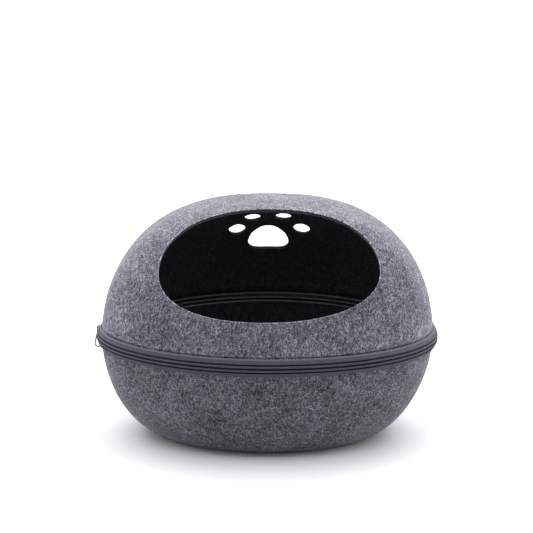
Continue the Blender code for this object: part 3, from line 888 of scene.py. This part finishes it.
def felt_material(name, brightness):
    """Marled grey felt: light and dark fibre bundles, cloudy patches and a soft sheen."""
    nodes = Nodes(name)
    place = nodes.place()
    a, b, c, d, e, f = streaks(nodes, place)
    light = nodes.math("MAXIMUM", nodes.math("MAXIMUM", a, b), c)
    dark = nodes.math("MINIMUM", nodes.math("MINIMUM", d, e), f)
    bundles = nodes.math("ADD", light, dark)
    clouds = nodes.noise(place, 26.0, 3.0, 0.6)
    tufts = nodes.noise(place, 150.0, 2.0, 0.6)
    tone = nodes.math("ADD", nodes.spread(bundles, 0.72, 1.28),
                      nodes.spread(clouds, 0.3, 0.7, -0.12, 0.12))
    tone = nodes.math("ADD", tone, nodes.spread(tufts, 0.3, 0.7, -0.15, 0.15), clamp=True)
    stops = [(0.00, (0.017, 0.017, 0.021)), (0.28, (0.050, 0.050, 0.060)),
             (0.55, (0.106, 0.106, 0.127)), (0.80, (0.200, 0.200, 0.235)),
             (1.00, (0.320, 0.320, 0.366))]
    # brightness scales the whole ramp: the cave's darker copies paint shade, its lighter ones
    # highlights
    stops = [(at, dim(colour, brightness)) for at, colour in stops]
    nodes.bump(bundles, 0.0006, 0.8)
    nodes.surface(Base_Color=nodes.ramp(tone, stops), Roughness=0.95, Sheen_Weight=0.25,
                  Sheen_Roughness=0.45, Sheen_Tint=(0.84, 0.84, 0.92, 1.0), Specular_IOR_Level=0.15)
    return nodes.material


def fibre_material(name, colour):
    """Loose fibres; each takes its own shade from where it lies."""
    nodes = Nodes(name)
    shade = nodes.spread(nodes.noise(nodes.place(), 260.0, 1.0), 0.3, 0.7, 0.75, 1.25)
    tint = nodes.add("ShaderNodeMix", {"Factor": 1.0}, data_type="RGBA", blend_type="MULTIPLY")
    nodes.put((*colour, 1.0), tint.inputs["A"])
    nodes.put(shade, tint.inputs["B"])
    nodes.surface(Base_Color=tint.outputs["Result"], Roughness=0.8, Specular_IOR_Level=0.2)
    return nodes.material


def lining_material(name, brightness):
    """Black felt with a faint nap."""
    nodes = Nodes(name)
    place = nodes.place()
    a, b, c, _, _, _ = streaks(nodes, place)
    nap = nodes.math("MAXIMUM", nodes.math("MAXIMUM", a, b), c)
    stops = [(0.0, (0.035, 0.035, 0.038)), (1.0, (0.100, 0.100, 0.108))]
    # brightness scales the ramp: besides the lining's own tone, a darker copy paints shade in the
    # vents' walls and a lighter one a highlight at the slit
    stops = [(at, dim(colour, brightness)) for at, colour in stops]
    nodes.bump(nap, 0.0004, 0.6)
    nodes.surface(Base_Color=nodes.ramp(nodes.spread(nap, 0.45, 0.75), stops), Roughness=0.95,
                  Specular_IOR_Level=0.10)
    return nodes.material


def tape_material(name, colour):
    """Woven slate tape: fine crossing threads along and across it."""
    nodes = Nodes(name)
    cloth = nodes.add("ShaderNodeUVMap", uv_map="cloth").outputs["UV"]
    waves = []
    for turn, scale in ((0.0, 420.0), (pi / 2, 300.0)):
        turned = nodes.add("ShaderNodeMapping", {"Vector": cloth, "Rotation": (0.0, 0.0, turn)})
        wave = nodes.add("ShaderNodeTexWave", {"Vector": turned.outputs["Vector"], "Scale": scale,
                         "Distortion": 0.6, "Detail": 1.0, "Detail Scale": 2.0})
        waves.append(wave.outputs["Fac"])
    weave = nodes.math("MULTIPLY", waves[0], waves[1])
    uneven = nodes.noise(nodes.place(), 90.0, 3.0, 0.6)
    tone = nodes.math("ADD", nodes.spread(weave, 0.0, 1.0, 0.30, 0.62),
                      nodes.spread(uneven, 0.3, 0.7, -0.10, 0.10))
    stops = [(0.0, dim(colour, 0.45)), (1.0, dim(colour, 1.45))]
    nodes.bump(weave, 0.00012, 0.6)
    nodes.surface(Base_Color=nodes.ramp(tone, stops), Roughness=0.70, Specular_IOR_Level=0.25)
    return nodes.material


def thread_material(name, colour):
    nodes = Nodes(name)
    uneven = nodes.noise(nodes.place(), 900.0, 2.0)
    stops = [(0.2, dim(colour, 0.6)), (0.8, dim(colour, 1.4))]
    nodes.bump(uneven, 0.0001, 0.5)
    nodes.surface(Base_Color=nodes.ramp(uneven, stops), Roughness=0.7, Specular_IOR_Level=0.3)
    return nodes.material


def coil_material(name):
    nodes = Nodes(name)
    uneven = nodes.noise(nodes.place(), 240.0, 2.0)
    # The coil's own grey, made light to paint the highlights its glossy nylon shows inside the
    # cave.
    stops = [(0.2, (0.200, 0.208, 0.245)), (0.8, (0.360, 0.372, 0.430))]
    nodes.surface(Base_Color=nodes.ramp(uneven, stops), Roughness=0.42, Specular_IOR_Level=0.45)
    return nodes.material


def metal_material(name, colour, roughness):
    """Dark painted metal with faint scuffs."""
    nodes = Nodes(name)
    scuffs = nodes.noise(nodes.place(), 1400.0, 3.0, 0.7)
    stops = [(0.3, dim(colour, 0.8)), (0.75, dim(colour, 1.3))]
    nodes.bump(scuffs, 0.00004, 0.4)
    nodes.surface(Base_Color=nodes.ramp(scuffs, stops), Metallic=0.3,
                  Roughness=nodes.spread(scuffs, 0.3, 0.7, roughness - 0.06, roughness + 0.10))
    return nodes.material


# --- Object -----------------------------------

def build_cave():
    dome_felt = felt_material("dome felt", 1.0)
    # painted shade: the bowl's felt is the dome's felt darkened
    bowl_felt_shaded = felt_material("bowl felt", 0.76)
    # painted shade on the mouth's cut wall
    cut_felt_shade = felt_material("cut felt, painted shade", 0.35)
    # painted highlight on the mouth's rim
    rim_felt_highlight = felt_material("felt rim, painted highlight", 2.4)
    # painted shade on the vents' walls
    vent_felt_shade = felt_material("vent wall felt, painted shade", 0.10)
    # painted highlight on the felt's edge at the slit
    seam_felt_highlight = felt_material("felt's seam edge, painted highlight", 2.2)
    # painted shade in the crease beside the tape
    crease_shade_felt = felt_material("felt, painted crease shade", 0.45)
    lining = lining_material("lining", 1.3)
    # painted highlight on the lining's edge at the slit
    lining_edge_highlight = lining_material("lining edge, painted highlight", 2.6)
    # painted shade on the lining in the vents' walls
    vent_lining_shade = lining_material("vent wall lining, painted shade", 0.35)
    tape = tape_material("zip tape", (0.060, 0.064, 0.086))
    thread = thread_material("zip thread", (0.055, 0.059, 0.078))
    # painted shade in the zip's groove and slit
    fold_shade = thread_material("zip fold, painted shade", (0.007, 0.008, 0.015))
    # painted highlight on the tape's rounded top edge
    tape_edge_highlight = thread_material("zip tape edge, painted highlight", (0.088, 0.093, 0.118))
    dark_tape = thread_material("inner zip tape", (0.030, 0.031, 0.036))
    # painted highlights: near-white hems stand for glossy ridges lit inside the cave
    hem_highlight = thread_material("inner hem, painted highlight", (0.54, 0.54, 0.57))
    # painted highlight: the light binding stands for a glossy edge catching light inside
    binding_highlight = thread_material("lining binding, painted highlight", (0.76, 0.76, 0.79))
    # lightened to paint highlights on the glossy coil
    coil = coil_material("zip coil, painted highlight")
    fibres = [fibre_material("light fibre", (0.40, 0.41, 0.45)),
              fibre_material("grey fibre", (0.18, 0.19, 0.21)),
              fibre_material("dark fibre", (0.03, 0.03, 0.035))]

    lining_depth = FELT_THICKNESS + CLEARANCE
    dome = Sheet(even_heights(TOTAL_HEIGHT - SEAM_HEIGHT, DOME_ROWS, 1), upward=True)
    dome.make_uneven()
    for hole in all_holes():
        dome.cut(hole)
    bowl = Sheet(even_heights(SEAM_HEIGHT, BOWL_ROWS, -1), upward=False)
    bowl.make_uneven()

    for half, sheet, felt, slot in (("top", dome, dome_felt, "felt_dome"),
                                    ("base", bowl, bowl_felt_shaded, "felt_bowl")):
        sheet.settle()
        shell = build_shell(f"felt_shell_{half}", sheet, 0.0, FELT_THICKNESS,
                            [felt, cut_felt_shade, rim_felt_highlight, vent_felt_shade, seam_felt_highlight, crease_shade_felt], 1.0)
        inner = build_shell(f"lining_shell_{half}", sheet, lining_depth,
                            lining_depth + LINING_THICKNESS,
                            [lining, lining, lining, vent_lining_shade, lining_edge_highlight, lining], 0.5)
        fuzz = felt_fibres(f"felt_fibres_{half}", sheet, FIBRE_COUNTS[half], fibres)
        for piece, name in ((shell, slot), (inner, "lining"), (fuzz, slot)):
            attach(piece, BODY)
        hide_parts(f"felt_{half}")
        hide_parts(f"lining_{half}")

    for half, side in (("top", 1), ("base", -1)):
        strip = build_tape(f"tape_{half}", side, TAPE_OUTLINE, TAPE_SPANS,
                           [tape, fold_shade, tape_edge_highlight if half == "top" else tape])
        leaf = build_tape(f"inner_tape_{half}", side, inner_tape_outline(INNER_HEMS[half]),
                          INNER_HEM_SPAN, [dark_tape, hem_highlight])
        teeth = build_coil(f"coil_{half}", side, coil)
        stitches = build_stitches(f"tape_stitches_{half}", side, thread)
        for piece, name in ((strip, "zip_tape"), (leaf, "zip_tape"), (teeth, "zip_coil"),
                            (stitches, "zip_tape")):
            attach(piece, BODY)
        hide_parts(f"zip_tape_{half}")
        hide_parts(f"zip_coil_{half}")
    binding = build_binding("lining_binding", binding_highlight)
    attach(binding, BODY)

    slider_metal = metal_material("slider metal", (0.065, 0.065, 0.074), 0.36)
    shield, bridge = build_slider(slider_metal)
    loop = build_pull(metal_material("pull metal", (0.012, 0.012, 0.016), 0.46))
    for piece in (shield, bridge, loop):
        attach(piece, BODY)
    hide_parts("zip_slider")
    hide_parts("zip_pull")


# --- Studio -----------------------------------
CAMERA_DISTANCE = 3.0
CAMERA_ELEVATION = radians(16.77)
CAMERA_TARGET = (0.0, 0.0, 0.160)
IMAGE_SIZE = 533             # pixels, both ways
FOCAL_PIXELS = 2182.0
TARGET_PIXEL = (267.2, 312.9)
SENSOR = 36.0
FLOOR_HALF_WIDTH = 8.0


def add_camera():
    camera = bpy.data.cameras.new("camera")
    camera.sensor_width = SENSOR
    camera.lens = FOCAL_PIXELS * SENSOR / IMAGE_SIZE
    camera.shift_x = (IMAGE_SIZE / 2 - TARGET_PIXEL[0]) / IMAGE_SIZE
    camera.shift_y = (TARGET_PIXEL[1] - IMAGE_SIZE / 2) / IMAGE_SIZE
    thing = add_object("camera", camera)
    back = Vector((0.0, -cos(CAMERA_ELEVATION), sin(CAMERA_ELEVATION)))
    thing.location = Vector(CAMERA_TARGET) + back * CAMERA_DISTANCE
    thing.rotation_euler = back.to_track_quat("Z", "Y").to_euler()
    bpy.context.scene.camera = thing


def add_softbox(name, location, target, size, watts, colour=(1.0, 1.0, 1.0)):
    light = bpy.data.lights.new(name, "AREA")
    light.shape = "RECTANGLE"
    light.size, light.size_y = size
    light.energy = watts
    light.color = colour
    thing = add_object(name, light)
    thing.location = location
    thing.rotation_euler = (Vector(location) - Vector(target)).to_track_quat("Z", "Y").to_euler()


def add_studio():
    nodes = Nodes("floor")
    nodes.surface(Base_Color=(0.67, 0.67, 0.68, 1.0), Roughness=0.9, Specular_IOR_Level=0.1)
    half = FLOOR_HALF_WIDTH
    corners = [(-half, -half, 0.0), (half, -half, 0.0), (half, half, 0.0), (-half, half, 0.0)]
    floor = add_mesh("floor", corners, [(0, 1, 2, 3)], [nodes.material])

    world = bpy.data.worlds.new("studio")
    world.use_nodes = True
    tree = world.node_tree
    background = tree.nodes["Background"]
    background.inputs["Color"].default_value = (0.97, 0.97, 1.0, 1.0)
    direction = tree.nodes.new("ShaderNodeTexCoord").outputs["Generated"]
    parts = tree.nodes.new("ShaderNodeSeparateXYZ")
    tree.links.new(direction, parts.inputs[0])
    depth = tree.nodes.new("ShaderNodeMapRange")
    tree.links.new(parts.outputs["Y"], depth.inputs["Value"])
    for key, value in (("From Min", -0.9), ("From Max", 0.3), ("To Min", 0.31), ("To Max", 0.95)):
        depth.inputs[key].default_value = value
    tree.links.new(depth.outputs["Result"], background.inputs["Strength"])
    bpy.context.scene.world = world

    add_softbox("overhead softbox", (0.0, 0.35, 2.0), (0.0, 0.0, 0.1), (4.0, 3.6), 115.0)
    add_softbox("left softbox", (-1.9, 0.2, 0.72), (0.0, 0.0, 0.15), (1.4, 1.4), 12.0)
    add_softbox("right softbox", (1.9, 0.2, 0.72), (0.0, 0.0, 0.15), (1.4, 1.4), 18.0)
    add_softbox("backdrop softbox", (0.0, 3.6, 2.6), (0.0, 3.6, 0.0), (7.0, 4.0), 190.0)
    bpy.context.scene.view_settings.view_transform = "Standard"


build_cave()
add_camera()
add_studio()
